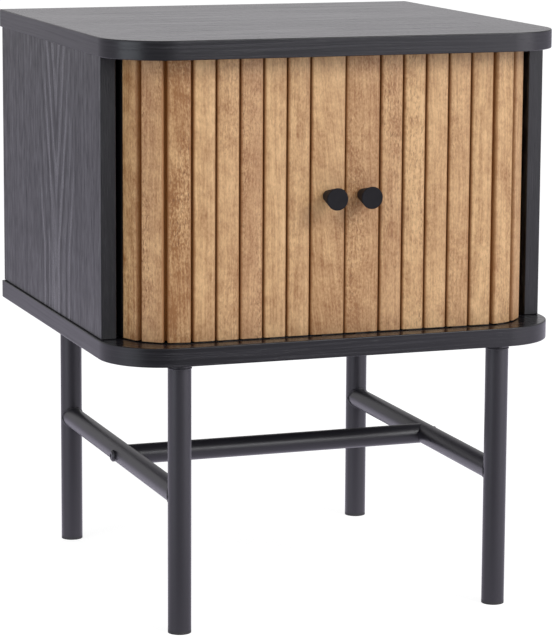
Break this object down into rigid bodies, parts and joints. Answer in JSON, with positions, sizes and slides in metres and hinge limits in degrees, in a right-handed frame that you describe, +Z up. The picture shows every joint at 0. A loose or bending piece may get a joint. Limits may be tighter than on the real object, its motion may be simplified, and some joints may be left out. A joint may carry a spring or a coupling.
{
  "type": "bedside table with tambour doors",
  "caption": "Bedside table: black ash-grained case with rounded front corners, sliding wooden tambour doors with cone knobs, on a tubular steel underframe with cross rail.",
  "frame": {"origin": "on the floor, in the middle of the overall plan (boards and knobs)", "axes": "+Z up, +X to the right as the doors are faced, doors face -Y"},
  "size_m": [0.45, 0.425, 0.556],
  "materials": {
    "black_ash": "satin black-stained ash grain",
    "mango_wood": "matt clear lacquer",
    "frame_steel": "satin black powder coat",
    "knob_black": "matt black",
    "glide": "moulded",
    "zinc": "zinc plated",
    "dowel": "raw beech"
  },
  "bodies": {
    "case": {"top_board": "black_ash", "bottom_board": "black_ash", "back_panel": "black_ash", "left_side_panel": "black_ash", "right_side_panel": "black_ash", "left_liner": "black_ash", "right_liner": "black_ash", "panel_dowels": "dowel", "liner_dowels": "dowel", "cam_locks": "zinc", "cam_bolts": "zinc", "left_strap": "frame_steel", "right_strap": "frame_steel", "strap_screws": "zinc", "front_left_leg": "frame_steel", "front_right_leg": "frame_steel", "rear_left_leg": "frame_steel", "rear_right_leg": "frame_steel", "left_side_rail": "frame_steel", "right_side_rail": "frame_steel", "cross_rail": "frame_steel", "cross_rail_plugs": "zinc", "cross_rail_bolts": "frame_steel", "foot_glides": "glide"},
    "left_lead": {"left_lead_slat": "mango_wood", "left_knob": "knob_black", "left_knob_screw": "zinc"},
    "left_tambour_1": {"left_slat_1": "mango_wood"},
    "left_tambour_2": {"left_slat_2": "mango_wood"},
    "left_tambour_3": {"left_slat_3": "mango_wood"},
    "left_tambour_4": {"left_slat_4": "mango_wood"},
    "left_tambour_5": {"left_slat_5": "mango_wood"},
    "left_tambour_6": {"left_slat_6": "mango_wood"},
    "left_tambour_7": {"left_slat_7": "mango_wood"},
    "left_tambour_8": {"left_slat_8": "mango_wood"},
    "left_tambour_9": {"left_slat_9": "mango_wood"},
    "left_tambour_10": {"left_slat_10": "mango_wood"},
    "left_tambour_11": {"left_slat_11": "mango_wood"},
    "left_tambour_12": {"left_slat_12": "mango_wood"},
    "right_lead": {"right_lead_slat": "mango_wood", "right_knob": "knob_black", "right_knob_screw": "zinc"},
    "right_tambour_1": {"right_slat_1": "mango_wood"},
    "right_tambour_2": {"right_slat_2": "mango_wood"},
    "right_tambour_3": {"right_slat_3": "mango_wood"},
    "right_tambour_4": {"right_slat_4": "mango_wood"},
    "right_tambour_5": {"right_slat_5": "mango_wood"},
    "right_tambour_6": {"right_slat_6": "mango_wood"},
    "right_tambour_7": {"right_slat_7": "mango_wood"},
    "right_tambour_8": {"right_slat_8": "mango_wood"},
    "right_tambour_9": {"right_slat_9": "mango_wood"},
    "right_tambour_10": {"right_slat_10": "mango_wood"},
    "right_tambour_11": {"right_slat_11": "mango_wood"},
    "right_tambour_12": {"right_slat_12": "mango_wood"}
  },
  "joints": [
    {"name": "left_door", "type": "slide", "parent": "case", "child": "left_lead", "axis": [-1, 0, 0], "range_m": [0, 0.0924], "deforming": ["left_slat_2", "left_slat_4", "left_slat_6", "left_slat_8"]},
    {"name": "left_slat_1_guide", "type": "slide", "parent": "case", "child": "left_tambour_1", "axis": [-1, 0, 0], "range_m": [0, 0.0924]},
    {"name": "left_slat_2_guide", "type": "hinge", "parent": "case", "child": "left_tambour_2", "pos_m": [-0.10768, 0.3538, 0.406], "axis": [0, 0, -1], "range_deg": [0, 9.87]},
    {"name": "left_slat_3_guide", "type": "hinge", "parent": "case", "child": "left_tambour_3", "pos_m": [-0.11922, -0.05026, 0.406], "axis": [0, 0, -1], "range_deg": [0, 39.28]},
    {"name": "left_slat_4_guide", "type": "hinge", "parent": "case", "child": "left_tambour_4", "pos_m": [-0.13078, -0.10837, 0.406], "axis": [0, 0, -1], "range_deg": [0, 68.69]},
    {"name": "left_slat_5_guide", "type": "hinge", "parent": "case", "child": "left_tambour_5", "pos_m": [-0.13914, -0.12564, 0.406], "axis": [0, 0, -1], "range_deg": [0, 90]},
    {"name": "left_slat_6_guide", "type": "hinge", "parent": "case", "child": "left_tambour_6", "pos_m": [-0.13248, -0.12177, 0.406], "axis": [0, 0, -1], "range_deg": [0, 80.13]},
    {"name": "left_slat_7_guide", "type": "hinge", "parent": "case", "child": "left_tambour_7", "pos_m": [-0.09455, -0.11022, 0.406], "axis": [0, 0, -1], "range_deg": [0, 50.72]},
    {"name": "left_slat_8_guide", "type": "hinge", "parent": "case", "child": "left_tambour_8", "pos_m": [0.0511, -0.09867, 0.406], "axis": [0, 0, -1], "range_deg": [0, 21.31]},
    {"name": "left_slat_9_guide", "type": "slide", "parent": "case", "child": "left_tambour_9", "axis": [0, 1, 0], "range_m": [0, 0.0924]},
    {"name": "left_slat_10_guide", "type": "slide", "parent": "case", "child": "left_tambour_10", "axis": [0, 1, 0], "range_m": [0, 0.0924]},
    {"name": "left_slat_11_guide", "type": "slide", "parent": "case", "child": "left_tambour_11", "axis": [0, 1, 0], "range_m": [0, 0.0924]},
    {"name": "left_slat_12_guide", "type": "slide", "parent": "case", "child": "left_tambour_12", "axis": [0, 1, 0], "range_m": [0, 0.0924]},
    {"name": "right_door", "type": "slide", "parent": "case", "child": "right_lead", "axis": [1, 0, 0], "range_m": [0, 0.0924], "deforming": ["right_slat_2", "right_slat_4", "right_slat_6", "right_slat_8"]},
    {"name": "right_slat_1_guide", "type": "slide", "parent": "case", "child": "right_tambour_1", "axis": [1, 0, 0], "range_m": [0, 0.0924]},
    {"name": "right_slat_2_guide", "type": "hinge", "parent": "case", "child": "right_tambour_2", "pos_m": [0.11167, 0.08026, 0.406], "axis": [0, 0, 1], "range_deg": [0, 20.05]},
    {"name": "right_slat_3_guide", "type": "hinge", "parent": "case", "child": "right_tambour_3", "pos_m": [0.12323, -0.07837, 0.406], "axis": [0, 0, 1], "range_deg": [0, 49.47]},
    {"name": "right_slat_4_guide", "type": "hinge", "parent": "case", "child": "right_tambour_4", "pos_m": [0.13478, -0.11799, 0.406], "axis": [0, 0, 1], "range_deg": [0, 78.88]},
    {"name": "right_slat_5_guide", "type": "hinge", "parent": "case", "child": "right_tambour_5", "pos_m": [0.13914, -0.12564, 0.406], "axis": [0, 0, 1], "range_deg": [0, 90]},
    {"name": "right_slat_6_guide", "type": "hinge", "parent": "case", "child": "right_tambour_6", "pos_m": [0.12322, -0.11777, 0.406], "axis": [0, 0, 1], "range_deg": [0, 69.95]},
    {"name": "right_slat_7_guide", "type": "hinge", "parent": "case", "child": "right_tambour_7", "pos_m": [0.06799, -0.10622, 0.406], "axis": [0, 0, 1], "range_deg": [0, 40.54]},
    {"name": "right_slat_8_guide", "type": "hinge", "parent": "case", "child": "right_tambour_8", "pos_m": [-0.27962, -0.09467, 0.406], "axis": [0, 0, 1], "range_deg": [0, 11.12]},
    {"name": "right_slat_9_guide", "type": "slide", "parent": "case", "child": "right_tambour_9", "axis": [0, 1, 0], "range_m": [0, 0.0924]},
    {"name": "right_slat_10_guide", "type": "slide", "parent": "case", "child": "right_tambour_10", "axis": [0, 1, 0], "range_m": [0, 0.0924]},
    {"name": "right_slat_11_guide", "type": "slide", "parent": "case", "child": "right_tambour_11", "axis": [0, 1, 0], "range_m": [0, 0.0924]},
    {"name": "right_slat_12_guide", "type": "slide", "parent": "case", "child": "right_tambour_12", "axis": [0, 1, 0], "range_m": [0, 0.0924]}
  ],
  "couplings": [
    {"joint": "left_slat_1_guide", "follows": "left_door", "ratio": 1},
    {"joint": "left_slat_2_guide", "follows": "left_door", "rad_per_m": 1.8639},
    {"joint": "left_slat_3_guide", "follows": "left_door", "rad_per_m": 7.4194},
    {"joint": "left_slat_4_guide", "follows": "left_door", "rad_per_m": 12.975},
    {"joint": "left_slat_5_guide", "follows": "left_door", "rad_per_m": 17},
    {"joint": "left_slat_6_guide", "follows": "left_door", "rad_per_m": 15.136},
    {"joint": "left_slat_7_guide", "follows": "left_door", "rad_per_m": 9.5805},
    {"joint": "left_slat_8_guide", "follows": "left_door", "rad_per_m": 4.025},
    {"joint": "left_slat_9_guide", "follows": "left_door", "ratio": 1},
    {"joint": "left_slat_10_guide", "follows": "left_door", "ratio": 1},
    {"joint": "left_slat_11_guide", "follows": "left_door", "ratio": 1},
    {"joint": "left_slat_12_guide", "follows": "left_door", "ratio": 1},
    {"joint": "right_slat_1_guide", "follows": "right_door", "ratio": 1},
    {"joint": "right_slat_2_guide", "follows": "right_door", "rad_per_m": 3.7879},
    {"joint": "right_slat_3_guide", "follows": "right_door", "rad_per_m": 9.3434},
    {"joint": "right_slat_4_guide", "follows": "right_door", "rad_per_m": 14.899},
    {"joint": "right_slat_5_guide", "follows": "right_door", "rad_per_m": 17},
    {"joint": "right_slat_6_guide", "follows": "right_door", "rad_per_m": 13.212},
    {"joint": "right_slat_7_guide", "follows": "right_door", "rad_per_m": 7.6565},
    {"joint": "right_slat_8_guide", "follows": "right_door", "rad_per_m": 2.101},
    {"joint": "right_slat_9_guide", "follows": "right_door", "ratio": 1},
    {"joint": "right_slat_10_guide", "follows": "right_door", "ratio": 1},
    {"joint": "right_slat_11_guide", "follows": "right_door", "ratio": 1},
    {"joint": "right_slat_12_guide", "follows": "right_door", "ratio": 1}
  ]
}
